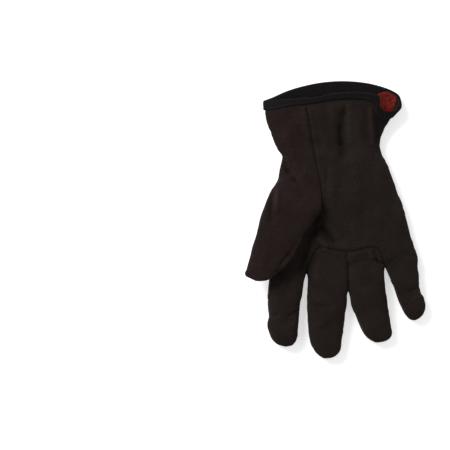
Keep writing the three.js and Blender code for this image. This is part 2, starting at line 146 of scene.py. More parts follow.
# %% Sections of the digits: along, thumb side, little side, top, under
# x, y, splay, length, width, depth, lift, roll
DIGITS = {
    "index": [-43.4, -85, -1.6, 99.8, 30.5, 15.5, 0, 0],
    "middle": [-7.4, -86.9, -0.7, 108.6, 33.3, 16.5, 0, 0],
    "ring": [25.9, -88.7, 7.4, 93.2, 32.3, 16, 0, 0],
    "little": [56.4, -90.6, 12.3, 72.4, 24, 14.5, 0, 0],
    "thumb": [-24, -19.4, -25.3, 116.4, 40.7, 13.5, 14, 0.12],
}
SECTIONS = {
    "index": [
        [0, 0.46, 0.46, 0.74, 0], [0.15, 0.5, 0.5, 0.8, 0], [0.3, 0.533, 0.562, 0.82, 0],
        [0.4, 0.54, 0.5, 0.88, 0], [0.5, 0.565, 0.46, 0.95, 0], [0.6, 0.565, 0.41, 1, 0],
        [0.72, 0.515, 0.366, 0.95, 0], [0.82, 0.55, 0.36, 0.98, 0],
        [0.917, 0.435, 0.336, 0.92, 0.03], [0.963, 0.32, 0.27, 0.81, 0.12],
        [0.99, 0.2, 0.18, 0.68, 0.26], [1, 0.05, 0.09, 0.56, 0.38],
    ],
    "middle": [
        [0, 0.5, 0.5, 0.8, 0], [0.14, 0.52, 0.57, 0.87, 0], [0.26, 0.545, 0.6, 0.93, 0],
        [0.383, 0.539, 0.585, 1, 0], [0.45, 0.55, 0.535, 1, 0], [0.536, 0.547, 0.52, 1, 0],
        [0.655, 0.521, 0.485, 0.97, 0], [0.79, 0.488, 0.432, 0.93, 0],
        [0.877, 0.44, 0.408, 0.88, 0.03], [0.936, 0.34, 0.365, 0.8, 0.1],
        [0.974, 0.23, 0.27, 0.7, 0.2], [1, 0.09, 0.13, 0.55, 0.36],
    ],
    "ring": [
        [0, 0.5, 0.48, 0.8, 0], [0.2, 0.56, 0.49, 0.88, 0], [0.35, 0.61, 0.434, 0.96, 0],
        [0.45, 0.63, 0.417, 1, 0], [0.52, 0.595, 0.412, 1, 0], [0.64, 0.565, 0.42, 0.98, 0],
        [0.795, 0.44, 0.438, 0.93, 0], [0.87, 0.375, 0.44, 0.89, 0.02],
        [0.93, 0.275, 0.443, 0.82, 0.08], [0.975, 0.155, 0.355, 0.7, 0.2],
        [1, 0.04, 0.21, 0.56, 0.36],
    ],
    "little": [
        [0, 0.6, 0.6, 0.84, 0], [0.2, 0.66, 0.62, 0.93, 0], [0.34, 0.575, 0.55, 1, 0],
        [0.447, 0.54, 0.497, 1, 0], [0.53, 0.49, 0.455, 0.98, 0], [0.62, 0.45, 0.437, 0.95, 0],
        [0.68, 0.425, 0.457, 0.95, 0], [0.74, 0.405, 0.515, 0.97, 0], [0.87, 0.32, 0.49, 0.9, 0.03],
        [0.93, 0.25, 0.39, 0.82, 0.1], [0.97, 0.17, 0.275, 0.73, 0.2],
        [1, 0.06, 0.08, 0.58, 0.36],
    ],
    "thumb": [
        [0, 0.4, 0.4, 0, -0.72], [0.12, 0.45, 0.48, 0.22, -0.75],
        [0.2, 0.49, 0.56, 0.5, -0.62], [0.26, 0.525, 0.615, 0.72, -0.32],
        [0.32, 0.552, 0.612, 0.86, -0.08], [0.4, 0.545, 0.567, 0.95, 0],
        [0.5, 0.512, 0.52, 1, 0], [0.6, 0.467, 0.515, 1, 0], [0.7, 0.417, 0.488, 0.98, 0],
        [0.78, 0.388, 0.452, 0.96, 0], [0.85, 0.348, 0.393, 0.93, 0.02],
        [0.91, 0.325, 0.31, 0.88, 0.06], [0.95, 0.302, 0.235, 0.82, 0.12],
        [0.98, 0.305, 0.1, 0.74, 0.2], [1, 0.25, -0.02, 0.62, 0.34],
    ],
}
print(sum(len(rows) for rows in SECTIONS.values()), "sections in five digits")

# %% Seams in plan, as shares of the palm's width and length
THUMB_SEAM = [
    [-0.25, 0.8], [-0.234, 0.41], [-0.2, 0.2], [-0.169, 0],
    [-0.14, -0.19], [-0.111, -0.35], [-0.107, -0.46], [-0.111, -0.51],
]
CREASE_SEAM = [
    [-0.225, -1.9], [-0.206, -1.15], [-0.2, -1.02], [-0.17, -0.91], [-0.145, -0.86],
    [-0.1, -0.836], [-0.03, -0.857], [0.085, -0.872], [0.155, -0.86], [0.228, -0.838],
    [0.289, -0.857], [0.315, -0.92], [0.343, -0.99], [0.362, -1.07], [0.4, -1.25],
    [0.445, -1.42], [0.46, -1.9],
]
RING_SEAM = [[0.066, -0.868], [0.068, -0.895], [0.072, -0.941], [0.083, -0.985], [0.084, -1.16]]
print("three seams on the palm")

# %% [markdown]
# ## Smooth curves through the tables
# A Catmull-Rom curve passes through each row of a table and leaves it in the direction of its
# neighbours, so there is nothing to tune. The same helper serves a finger and a seam line.

# %% Curves through rows
def through(rows, count):
    """count rows on the smooth curve through the rows of a table."""
    rows = np.array(rows, float)
    place = np.linspace(0, len(rows) - 1, count)
    i = np.minimum(place.astype(int), len(rows) - 2)
    f = (place - i)[:, None]
    ends = np.vstack([2 * rows[0] - rows[1], rows, 2 * rows[-1] - rows[-2]])
    a, b, c, d = ends[i], ends[i + 1], ends[i + 2], ends[i + 3]
    return b + f / 2 * (c - a + f * (2 * a - 5 * b + 4 * c - d + f * (3 * (b - c) + d - a)))


def closed_curve(points, count):
    """count places on the closed curve through some points, each span paced by its length."""
    points = np.array(points, float)
    place = np.arange(count) / count * len(points)
    i = place.astype(int)
    f = (place - i)[:, None]
    a, b, c, d = [points[(i + k) % len(points)] for k in (-1, 0, 1, 2)]
    pace = [np.sqrt(np.linalg.norm(q - p, axis=1))[:, None] for p, q in ((a, b), (b, c), (c, d))]
    start = ((b - a) / pace[0] - (c - a) / (pace[0] + pace[1]) + (c - b) / pace[1]) * pace[1]
    end = ((c - b) / pace[1] - (d - b) / (pace[1] + pace[2]) + (d - c) / pace[2]) * pace[1]
    return b + f * (start + f * (3 * (c - b) - 2 * start - end + f * (2 * (b - c) + start + end)))


print("halfway down the middle finger:", through(SECTIONS["middle"], 3)[1].round(2))

# %% [markdown]
# ## One section of cloth
# A stuffed tube would be an ellipse. An empty glove is flatter: full at its sides and pressed
# flat where it meets the table. Raising the sine and the cosine to a power below 1 gives this.

# %% Draw sections
def section(sides, thumb_side, little_side, thumb_top, little_top, seam, under):
    """Points across and up, from the little finger's side over the top and back under."""
    angle = 2 * np.pi * np.arange(sides) / sides
    side = np.sign(np.cos(angle)) * np.abs(np.cos(angle)) ** SIDE_ROUNDNESS
    rise = np.abs(np.sin(angle)) ** CROWN
    across = side * np.where(side > 0, little_side, thumb_side)
    top = thumb_top + (little_top - thumb_top) * (side + 1) / 2
    up = seam + (top - seam) * rise
    down = seam - (seam - under) * np.minimum(1, rise * UNDERSIDE)
    return across, np.where(np.sin(angle) >= 0, up, down)


def rings_of(x, y, z):
    """Rings of points in one array: ring, place round it, coordinate."""
    return np.stack(np.broadcast_arrays(x, y, z), axis=-1)


def to_segment(points, start, end):
    """How far points are from a line between two places, in plan."""
    start, end = np.array(start, float), np.array(end, float)
    way = end - start
    share = np.clip(((points[..., :2] - start) @ way) / (way @ way), 0, 1)
    return np.linalg.norm(points[..., :2] - start - share[..., None] * way, axis=-1)


print("sections stand ready")

# %% [markdown]
# ## The palm and the cuff
# The palm hangs on sections across the hand. The cuff is a flared tube from the elastic to a
# slanting rim: the back reaches further than the palm, which is why the inside shows. Dents are
# pressed into the upper side, and the elastic's gathers lift the cloth of the back.

# %% Rings of the palm
HAND_SIDES = 300


def folded(plain, dent_share, gather_share):
    turn = np.arange(HAND_SIDES) / HAND_SIDES
    upward = np.maximum(0, np.sin(2 * np.pi * turn))
    scale = np.array([PALM_WIDTH, PALM_LENGTH])
    dent = sum(
        depth * np.exp(-((to_segment(plain, (x0, y0) * scale, (x1, y1) * scale) / reach) ** 2))
        for x0, y0, x1, y1, reach, depth in DENTS
    )
    lift = sum(d * np.exp(-(((turn - t) / GATHER_SPREAD) ** 2)) for t, d in GATHERS)
    out = plain.copy()
    out[..., 2] += gather_share * GATHER_DEPTH * lift - dent_share * upward * dent
    return out


def palm_rings(rows):
    along, thumb_side, little_side, thumb_height, little_height, fill, _ = rows.T[:, :, None]
    tops = [
        SEAM_HEIGHT + (height * PALM_DEPTH - SEAM_HEIGHT) * fill
        for height in (thumb_height, little_height)
    ]
    across, up = section(
        HAND_SIDES, thumb_side * PALM_WIDTH, little_side * PALM_WIDTH, *tops,
        SEAM_HEIGHT, SEAM_HEIGHT * (1 - fill),
    )
    return rings_of(across, -along * PALM_LENGTH, up)


palm_rows = through(PALM, 170)
palm_plain = palm_rings(palm_rows)
palm_folded = folded(palm_plain, 1, palm_rows[:, 6:7])
print("palm rings:", palm_folded.shape)

# %% Rings of the cuff
rim = closed_curve(RIM, HAND_SIDES) * [CUFF_WIDTH, CUFF_LENGTH, CUFF_DEPTH]
rim += [CUFF_THUMB_SIDE, 0, RIM_LIFT]
rim[:, 2] = np.maximum(rim[:, 2], RIM_LIFT)
wrist = palm_plain[0]
ways = np.linalg.norm(rim - wrist, axis=1)


def cuff_rings(shares):
    """Rings at shares of the way from the rim to the elastic; one row of shares a ring."""
    past_tape = (shares * ways - BINDING_WIDTH) / BINDING_WIDTH
    lowest = RIM_LIFT * (1 - np.clip(past_tape, 0, 1))
    across = (rim[:, 0] - CUFF_THUMB_SIDE) / CUFF_WIDTH
    waist = THUMB_WAIST + (LITTLE_WAIST - THUMB_WAIST) * across
    narrowed = np.where(shares > 0, shares * (waist - (waist - 1) * shares), shares)
    x = rim[:, 0] + (wrist[:, 0] - rim[:, 0]) * narrowed
    y = rim[:, 1] + (wrist[:, 1] - rim[:, 1]) * shares
    z = np.maximum(lowest, rim[:, 2] + (wrist[:, 2] - rim[:, 2]) * narrowed)
    plain = rings_of(x, y, z)
    middle = np.maximum(0, shares[:, HAND_SIDES // 4])[:, None]
    return plain, folded(plain, np.minimum(1, middle * 3), middle**2)


def behind_rim(distances):
    """Rings at distances from the rim, in millimetres, towards the elastic."""
    return cuff_rings(np.array(distances, float)[:, None] / ways)


def stations(shares):
    """Rings at shares of the way from the tape's edge to the elastic."""
    first = BINDING_WIDTH / ways
    return cuff_rings(first + (1 - first) * np.array(shares, float)[:, None])


BEYOND = 8  # how far the skin is carried out over the rim, to be trimmed there later
near_rim = np.arange(-BEYOND, BINDING_WIDTH, 0.5)
shares = np.linspace(0, 1, 80)[:-1]
cuff_folded = np.vstack([behind_rim(near_rim)[1], stations(shares)[1]])
print("cuff rings:", cuff_folded.shape)

# %% Where the rim differs: the fleece swells out at one corner, and the front rolls inwards
def smooth_step(value, low, high):
    part = np.clip((value - low) / (high - low), 0, 1)
    return part * part * (3 - 2 * part)


def between(value, low, high, soft):
    return smooth_step(value, low, low + soft) * (1 - smooth_step(value, high - soft, high))


around = (np.arange(HAND_SIDES) / HAND_SIDES + 0.3) % 1  # counted from the rim's lowest back
puffed = smooth_step(around, 0.175, 0.225) * (1 - smooth_step(around, 0.27, 0.345))
# On the back's side the tape's inner leaf is widened, so black tape instead of shaded fleece fills the
# deep slot between the palm's edge and the back's rim: a dark sheet standing in for shade
under_side = between((around + 0.5) % 1, 0.29, 0.7, 0.04)
rolled = between(around, 0.47, 0.76, 0.06)
print("the fleece swells over", round(float(puffed.mean()), 2), "of the rim")

# %% Rings of the digits
DIGIT_SIDES = 110


def digit_rings(name, count):
    x, y, splay, length, width, depth, lift, roll = DIGITS[name]
    along, thumb_side, little_side, top, under = through(SECTIONS[name], count).T[:, :, None]
    high, low = lift + top * depth, lift + under * depth
    seam = (high + low) / 2 if lift else SEAM_HEIGHT
    across, up = section(
        DIGIT_SIDES, thumb_side * width, little_side * width, high, high, seam, low
    )
    lean = math.radians(splay)
    way = along * length
    return rings_of(
        x + math.sin(lean) * way + math.cos(lean) * across,
        y - math.cos(lean) * way + math.sin(lean) * across,
        up + roll * across,
    )


hand_rings = np.vstack([cuff_folded, palm_folded])
lofts = {"hand": hand_rings, **{name: digit_rings(name, 150) for name in DIGITS}}
print({name: rings.shape[:2] for name, rings in lofts.items()})

# %% Bring the tables' own origin onto the frame's
in_rim = hand_rings[len(near_rim[near_rim < 0]):].reshape(-1, 3)
everything = np.vstack([in_rim] + [lofts[name].reshape(-1, 3) for name in DIGITS])
panels = ["back_panel", "palm_panel", "middle_finger_panel", "thumb_panel"]
corners = np.array([[list(c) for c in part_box(name)] for name in panels]) * 1000
cad_middle = (corners[:, 0].min(0) + corners[:, 1].max(0)) / 2
shift = cad_middle - (everything.min(0) + everything.max(0)) / 2
shift[2] = 0
print("the tables' origin lies at", shift.round(2), "mm in the frame")

# %% [markdown]
# ## One skin out of six tubes
# The hand and the digits are six closed tubes that run into each other. Joining them with
# booleans leaves long thin faces, which fold badly. A voxel remesh reads them as one volume
# and gives an even net of small squares instead, with soft corners as cloth has between two
# fingers. A few rounds of averaging take the net's own steps out.

# %% Close the tubes and remesh them
def tube_faces(rings, sides, first):
    """Squares between rings, and a fan over each end."""
    i = np.arange(sides)
    n = (i + 1) % sides
    r = first + np.arange(rings - 1)[:, None] * sides
    walls = np.stack([r + i, r + n, r + sides + n, r + sides + i], axis=-1).reshape(-1, 4)
    caps = first + rings * sides
    last = first + (rings - 1) * sides
    ends = [(caps, n[k], i[k]) for k in range(sides)]
    ends = [(caps, first + int(b), first + int(a)) for _, b, a in ends]
    ends += [(caps + 1, last + int(a), last + int(b)) for a, b in zip(i, n)]
    return walls.tolist() + ends


def new_mesh(name, points, faces):
    mesh = bpy.data.meshes.new(name)
    mesh.from_pydata((np.asarray(points) / 1000).tolist(), [], faces)
    mesh.validate()
    return mesh


points, faces = [], []
for rings in lofts.values():
    first = sum(len(p) for p in points)
    faces += tube_faces(rings.shape[0], rings.shape[1], first)
    points += [rings.reshape(-1, 3), rings[[0, -1]].mean(axis=1)]
points = np.vstack(points) + shift

VOXEL = 0.88  # fine enough for the folds, and every panel stays under 200,000 triangles
solid = bpy.data.objects.new("skin", new_mesh("skin", points, faces))
bpy.context.scene.collection.objects.link(solid)
remesh = solid.modifiers.new("net", "REMESH")
remesh.mode = "VOXEL"
remesh.voxel_size = VOXEL / 1000
net = solid.evaluated_get(bpy.context.evaluated_depsgraph_get()).to_mesh()
skin = np.empty(len(net.vertices) * 3)
net.vertices.foreach_get("co", skin)
skin = skin.reshape(-1, 3) * 1000
net.calc_loop_triangles()
triangles = np.empty(len(net.loop_triangles) * 3, int)
net.loop_triangles.foreach_get("vertices", triangles)
triangles = triangles.reshape(-1, 3)
bpy.data.objects.remove(solid)
print("the net has", len(skin), "points and", len(triangles), "triangles")

# %% Average the net a little
def edges_of(triangles):
    pairs = np.sort(triangles[:, [0, 1, 1, 2, 2, 0]].reshape(-1, 2), axis=1)
    return np.unique(pairs, axis=0)


def averaged(points, edges, rounds, share=0.5):
    """Each point moves towards the mean of its neighbours, a few times."""
    a, b = edges.T
    count = np.bincount(edges.ravel(), minlength=len(points))[:, None]
    for _ in range(rounds):
        total = np.zeros_like(points)
        np.add.at(total, a, points[b])
        np.add.at(total, b, points[a])
        points = points + share * (total / np.maximum(count, 1) - points)
    return points


edges = edges_of(triangles)
skin = averaged(skin, edges, 5)
print("the skin reaches", np.ptp(skin, axis=0).round(1), "mm")

# %% [markdown]
# ## Where each point of the skin lies
# To fold and cut the skin, each point has to know its piece of the hand: which tube it came
# from, how far round it, and how far behind the rim. The nearest point of the tubes tells all
# three. A KD-tree finds it fast.

# %% Ask the nearest point of the tubes
def nearest(points, targets):
    """Number of the nearest target of each point, and how far it is."""
    tree = KDTree(len(targets))
    for i, p in enumerate(targets.tolist()):
        tree.insert(p, i)
    tree.balance()
    found = [tree.find(p)[1:] for p in points.tolist()]
    return np.array([f[0] for f in found]), np.array([f[1] for f in found])


FAR = 1000.0
TAPE_TO_ELASTIC = 40
distances = {}
hits = {}
for name, rings in lofts.items():
    hits[name], distances[name] = nearest(skin, rings.reshape(-1, 3) + shift)
names = list(lofts)
table = np.array([distances[name] for name in names])
tag = table.argmin(axis=0)
on_thumb = table[[names.index(n) for n in names if n != "thumb"]].min(axis=0) - distances["thumb"]

ring_number, side_number = np.divmod(hits["hand"], HAND_SIDES)
behind = np.full(len(cuff_folded) + len(palm_folded), FAR)
behind[:len(near_rim)] = near_rim
behind[len(near_rim):len(cuff_folded)] = BINDING_WIDTH + shares * TAPE_TO_ELASTIC
behind = np.where(tag == 0, behind[ring_number], FAR)
turn = np.where(tag == 0, side_number / HAND_SIDES, 0.25)
print({name: int((tag == i).sum()) for i, name in enumerate(names)})

# %% [markdown]
# ## Folds and wrinkles
# Jersey is knitted, so it bends softly: long shallow waves, a few sharper wrinkles where the
# cloth was folded, and short puckers beside each seam. A cloth simulation would invent its own
# folds, and here they have to lie where the real glove has them, so they are drawn: each
# wrinkle is a line with a reach and a depth, pressed in along the skin's normal.

# %% Smooth noise without a texture
def lattice(cells, seed):
    """A fixed pseudo-random number from -1 to 1 for each whole place in space."""
    x, y, z = np.moveaxis(cells, -1, 0)
    return 2 * np.mod(np.abs(np.sin(x * 12.9898 + y * 78.233 + z * 37.719 + seed)) * 43758.5453, 1) - 1


def waves(points, length, seed):
    """Smooth hills and hollows about length millimetres long."""
    place = points / length
    whole = np.floor(place)
    part = place - whole
    part = part * part * (3 - 2 * part)
    total = 0
    for corner in np.ndindex(2, 2, 2):
        weight = np.prod(np.where(corner, part, 1 - part), axis=-1)
        total = total + weight * lattice(whole + corner, seed)
    return total


def normals_of(points, triangles):
    a, b, c = (points[triangles[:, k]] for k in range(3))
    face = np.cross(b - a, c - a)
    total = np.zeros_like(points)
    for k in range(3):
        np.add.at(total, triangles[:, k], face)
    return total / np.maximum(np.linalg.norm(total, axis=1), 1e-9)[:, None]


normals = normals_of(skin, triangles)
print("waves between", waves(skin, 20, 1).min().round(2), "and", waves(skin, 20, 1).max().round(2))

# %% Wrinkles: a line in plan, its reach and its height (below zero pressed in), in millimetres
# They are read off the photograph in the frame's own millimetres.
def seen(px, py, height=14):
    """The place on the cloth that a point of the photograph shows, at a height over the table."""
    scale = 0.92 * (1 - height / 978)
    return np.array([(px - 225) * scale - 100.1, (225 - py) * scale - 5.1])


WRINKLES = [
    # the lighter fold along the thumb's inner edge, and the crease beside it
    [(284, 266), (294, 254), 2.2, 1.1],
    [(294, 254), (303, 238), 2.2, 0.6],
    [(280, 264), (288, 254), 1.6, -1.1],
    [(288, 254), (296, 243), 1.8, -0.6],
    [(262, 262), (268, 246), 4.0, 0.5],
    [(300, 242), (294, 262), 3.2, 0.6],
    # across the ball of the thumb, down from the wrist
    [(284, 157), (288, 173), 1.9, -1.7],
    [(289, 171), (295, 181), 2.2, -1.8],
    [(294, 180), (303, 197), 2.4, -1.7],
    [(289, 168), (298, 180), 1.8, 0.6],
    [(307, 176), (308.5, 190), 1.8, -0.5],
    # the hollow on the thumb's outer side, and the ridge beside it
    [(271, 198), (270, 221), 2.4, -2.3],
    [(277.5, 192), (276.5, 209), 2.0, 1.3],
    # the pocket at the thumb's crotch, and the crease over the palm
    [(317, 219), (314, 233), 3.4, -3.0],
    [(321, 228), (334, 242), 2.3, -2.4],
    [(319, 239), (326, 248), 2.8, 1.2],
    [(327, 224), (337, 236), 2.4, 0.6],
    [(309, 236), (304, 256), 3.4, -1.4],
    [(304, 256), (302, 268), 3.6, -1.5],
    [(277, 271), (288, 281), 2.8, -1.2],
    # the palm's fold beside the thumb's seam
    [(327.5, 168), (324.5, 200), 1.6, -0.6],
    [(332, 160), (330, 205), 3.5, 0.5],
    # folds of the cuff, down from the rim
    [(339.5, 107), (340, 119), 4.0, 0.8],
    [(340, 128), (342.5, 145), 1.9, -2.0],
    [(332, 138), (336, 162), 6.0, -0.8],
    [(348, 105), (350, 142), 2.5, 1.0],
    [(331, 108), (334, 140), 3.5, 0.6],
    [(370, 110), (371.5, 144), 1.7, 1.6],
    [(376.5, 116), (379, 148), 2.6, -0.8],
    [(364, 105), (366, 140), 2.5, -0.6],
    [(356, 118), (358, 150), 3.0, 0.4],
    [(300, 128), (303, 150), 3.5, -0.5],
    [(285, 135), (292, 155), 3.0, 0.5],
    [(345, 150), (339, 195), 4.5, -0.7],
    [(352, 155), (356, 190), 4.5, 0.4],
    # the index finger
    [(298, 312), (289, 316), 1.8, -1.1],
    [(270, 316), (277, 315), 1.8, -1.0],
    [(290, 284), (282, 298), 3.0, -0.6],
    [(296, 322), (284, 330), 2.4, 0.4],
    # the middle finger
    [(311, 305), (331, 306.5), 1.5, -0.6],
    [(311, 309), (326, 310), 2.0, 0.3],
    [(316, 257), (311, 268), 2.0, -0.8],
    [(321, 256), (316, 276), 2.5, 0.5],
    [(334, 322), (322, 330), 3.0, -0.4],
    # the ring finger, puckered at its crotch
    [(370, 253), (376, 262), 1.6, 0.9],
    [(374.5, 252), (378, 259), 1.3, -1.2],
    [(375, 260), (383, 264), 1.5, -2.2],
    [(366, 257), (371, 266), 1.8, -0.7],
    [(380, 256), (383, 262), 1.4, 0.8],
    [(352, 292), (362, 300), 2.6, -0.5],
    # the little finger
    [(418, 288), (410, 292), 1.8, -1.1],
    [(419, 296), (412, 300), 2.0, 0.5],
    [(391, 262), (396, 276), 2.4, -0.7],
    [(399, 258), (403, 276), 3.0, 0.4],
]


def wrinkle_height(points):
    total = np.zeros(len(points))
    for start, end, reach, height in WRINKLES:
        distance = to_segment(points, seen(*start), seen(*end))
        total += height * np.exp(-((distance / reach) ** 2))
    return total


print(len(WRINKLES), "wrinkles, up to", round(wrinkle_height(skin).max(), 2), "mm high")

# %% Fold the skin
DEEPEST_IN_CUFF = -1.9  # a deeper fold would meet the lining there
# DARKEST_CREASE is the crease depth at which the painted crease shade is full, PALEST_RIDGE the ridge
# height at which the painted ridge highlight is full
DARKEST_CREASE, PALEST_RIDGE = 2.4, 1.2  # the depth and the height at which their tone is full
up_facing = np.clip(normals[:, 2] * 2, 0, 1)
away_from_rim = np.clip((behind - BINDING_WIDTH) / 6, 0, 1)
height = 0.55 * waves(skin, 23, 1) + 0.35 * waves(skin, 11, 2) + 0.2 * waves(skin, 5, 3)
drawn = up_facing * wrinkle_height(skin)
height += drawn
in_cuff = np.clip((skin[:, 1] - shift[1] + 8) / 8, 0, 1)
height = np.maximum(height, DEEPEST_IN_CUFF - 3 * (1 - in_cuff))
# Painted shade and light: creases get painted shade and ridges a painted highlight in the cloth's
# colour, by how deep or high their drawn wrinkle is
crease_shade = np.clip(-drawn, 0, DARKEST_CREASE) / DARKEST_CREASE
ridge_highlight = np.clip(drawn, 0, PALEST_RIDGE) / PALEST_RIDGE
skin = skin + normals * (height * away_from_rim)[:, None]
skin[:, 2] = np.maximum(skin[:, 2], 0)
print("folded by up to", round(float(np.abs(height).max()), 2), "mm")

# %% [markdown]
# ## Cutting the skin into its panels
# On the real glove the cloth is cut first and sewn afterwards. Here it is the other way round,
# so that neighbouring panels meet exactly. Each seam is a field: a number at each point that is
# positive on one side and negative on the other. Points close to where a field is zero slide
# onto that line, which gives a clean edge without adding any.

# %% Distance from a line in plan, signed by its side
def in_plan(rows, count):
    return through(rows, count) * [PALM_WIDTH, PALM_LENGTH] + shift[:2]


def inside(points, outline):
    """Distance from a closed outline in plan, positive inside it."""
    distance = np.full(len(points), 1e9)
    within = np.zeros(len(points), bool)
    for (x0, y0), (x1, y1) in zip(outline, np.roll(outline, -1, axis=0)):
        distance = np.minimum(distance, to_segment(points, (x0, y0), (x1, y1)))
        if y0 == y1:
            continue
        spans = (points[:, 1] < y0) != (points[:, 1] < y1)
        crossing = x0 + (points[:, 1] - y0) / (y1 - y0) * (x1 - x0)
        within ^= spans & (points[:, 0] < crossing)
    return np.where(within, distance, -distance)


thumb_lean = math.radians(DIGITS["thumb"][2])
along_thumb = np.array([math.sin(thumb_lean), -math.cos(thumb_lean)])
across_thumb = np.array([math.cos(thumb_lean), math.sin(thumb_lean)])
thumb_line = in_plan(THUMB_SEAM, 60)
crotch = thumb_line[-1]
strip = np.vstack([thumb_line, crotch - 400 * across_thumb, [-400, 400]])
finger_outline = in_plan(CREASE_SEAM, 120)
print("the thumb's crotch is at", crotch.round(1), "mm")

# %% Slide points onto the seams
def slide(points, edges, field):
    """Moves the points next to a field's zero onto it, and says which ones moved."""
    a, b = edges.T
    crosses = field[a] * field[b] < 0
    a, b = a[crosses], b[crosses]
    share = field[a] / (field[a] - field[b])
    spots = points[a] + share[:, None] * (points[b] - points[a])
    mover = np.where(share < 0.5, a, b)
    total, count = np.zeros_like(points), np.zeros(len(points))
    np.add.at(total, mover, spots)
    np.add.at(count, mover, 1)
    moved = count > 0
    points[moved] = total[moved] / count[moved, None]
    field[moved] = 0
    return moved


def side_of(triangles, field):
    return field[triangles].sum(axis=1) > 0


def thumb_field(points, beyond_pull=1.5):
    beyond = (points[:, :2] - crotch) @ along_thumb
    sewn = np.minimum(inside(points, strip), beyond_pull - beyond)
    return np.maximum(sewn, np.minimum(on_thumb, beyond + beyond_pull))


trim = np.where(tag == 0, behind, FAR)
over_the_mouth = (tag == 0) & (distances["hand"] > 1.6) & (skin[:, 1] > shift[1] + 15)
trim[over_the_mouth] = -1
slide(skin, edges, trim)
level = skin[:, 2] - SEAM_HEIGHT
slide(skin, edges, level)
thumb_side_field = thumb_field(skin)
upper_point = level > -0.3
thumb_side_field[~upper_point] = -1
slide(skin, edges, thumb_side_field)
finger_field = inside(skin, finger_outline)
finger_field[~upper_point] = -1
slide(skin, edges, finger_field)

kept = side_of(triangles, trim)
upper = side_of(triangles, level)
thumb = upper & side_of(triangles, thumb_side_field)
finger = upper & ~thumb & side_of(triangles, finger_field)
panel = np.select([~kept, ~upper, thumb, finger], [-1, 0, 3, 2], 1)
print({name: int((panel == i).sum()) for i, name in enumerate(panels)})

# %% Crumbs that the cut left join their neighbour
for _ in range(6):
    pairs = np.sort(triangles[:, [0, 1, 1, 2, 2, 0]].reshape(-1, 2), axis=1)
    _, edge_number = np.unique(pairs, axis=0, return_inverse=True)
    edge_number = edge_number.reshape(-1, 3)
    sums = np.zeros((edge_number.max() + 1, 5))
    for k in range(3):
        np.add.at(sums, (edge_number[:, k], panel + 1), 1)
    votes = sum(sums[edge_number[:, k]] for k in range(3))
    votes[np.arange(len(panel)), panel + 1] -= 3
    other = votes.argmax(axis=1) - 1
    odd = votes.max(axis=1) >= 2
    odd &= votes[np.arange(len(panel)), panel + 1] <= 1
    panel = np.where(odd, other, panel)
print("after clearing:", {name: int((panel == i).sum()) for i, name in enumerate(panels)})

# %% [markdown]
# ## Seams
# A seam is turned inside out after sewing, so outside it is a thin groove between two soft
# rolls of cloth, with small puckers where the thread pulls. No stitch shows. The groove's depth
# depends on the distance from the line, found once more with a KD-tree.

# %% Groove and puckers along every seam
corner = triangles.ravel()
panel_of_corner = np.repeat(panel, 3)
lowest, highest = np.full(len(skin), 9), np.full(len(skin), -9)
np.minimum.at(lowest, corner, panel_of_corner)
np.maximum.at(highest, corner, panel_of_corner)
on_seam = (lowest != highest) & (lowest >= 0)
beyond_crotch = ((skin[:, :2] - crotch) @ along_thumb) > 2
laid_over = on_seam & (highest == 3) & (lowest > 0) & beyond_crotch
sewn = on_seam & ~laid_over

normals = normals_of(skin, triangles)
_, from_seam = nearest(skin, skin[sewn])
ring_line = in_plan(RING_SEAM, 30)
for start, end in zip(ring_line, ring_line[1:]):
    near_ring = to_segment(skin, start, end) + 9 * (normals[:, 2] < 0.1)
    from_seam = np.minimum(from_seam, near_ring)
pull = 0.75 + 0.35 * waves(skin, 9, 4)
groove = -1.0 * np.exp(-((from_seam / 1.1) ** 2)) + 0.5 * np.exp(-(((from_seam - 3.3) / 1.8) ** 2))
pucker = 0.32 * waves(skin, 3.2, 5) * np.exp(-(from_seam / 4.5) ** 2)
away_from_rim = np.clip((behind - BINDING_WIDTH) / 3, 0, 1)
skin = skin + normals * ((groove * pull + pucker) * away_from_rim)[:, None]
skin[:, 2] = np.maximum(skin[:, 2], 0)
# Painted shade in the cloth's colour: darker in the seams' grooves, in the creases, and on the cuff's
# right side, which turns down away from the light
seam_shade = np.exp(-((from_seam / 0.85) ** 2))
cuff_side_shade = np.exp(-((to_segment(skin, seen(382, 110), seen(381, 145)) / 7.5) ** 2))
painted_shade = np.clip(seam_shade + 0.5 * crease_shade + 0.9 * cuff_side_shade, 0, 1)
print(int(sewn.sum()), "points lie on sewn seams")

# %% [markdown]
# ## Panels with a real thickness
# Each panel gets its own inner face, 2.2 mm under the outer one, and a strip all round to join
# the two. That makes it a closed solid, as the cut piece of jersey is, and where two panels
# meet a hair's gap stays open, which reads as the seam's dark line.

# %% Build the four panels
def walled(points, inner, triangles):
    """A closed solid between an outer face and its inner one: its points and triangles."""
    used, renumbered = np.unique(triangles, return_inverse=True)
    renumbered = renumbered.reshape(-1, 3)
    directed = renumbered[:, [0, 1, 1, 2, 2, 0]].reshape(-1, 2)
    keys = directed[:, 0] * len(used) + directed[:, 1]
    back = directed[:, 1] * len(used) + directed[:, 0]
    open_edges = directed[~np.isin(keys, back)]
    a, b = open_edges.T
    n = len(used)
    rim_faces = np.vstack([np.c_[b, a, a + n], np.c_[b, a + n, b + n]])
    return np.vstack([points[used], inner[used]]), np.vstack(
        [renumbered, renumbered[:, ::-1] + n, rim_faces]
    )


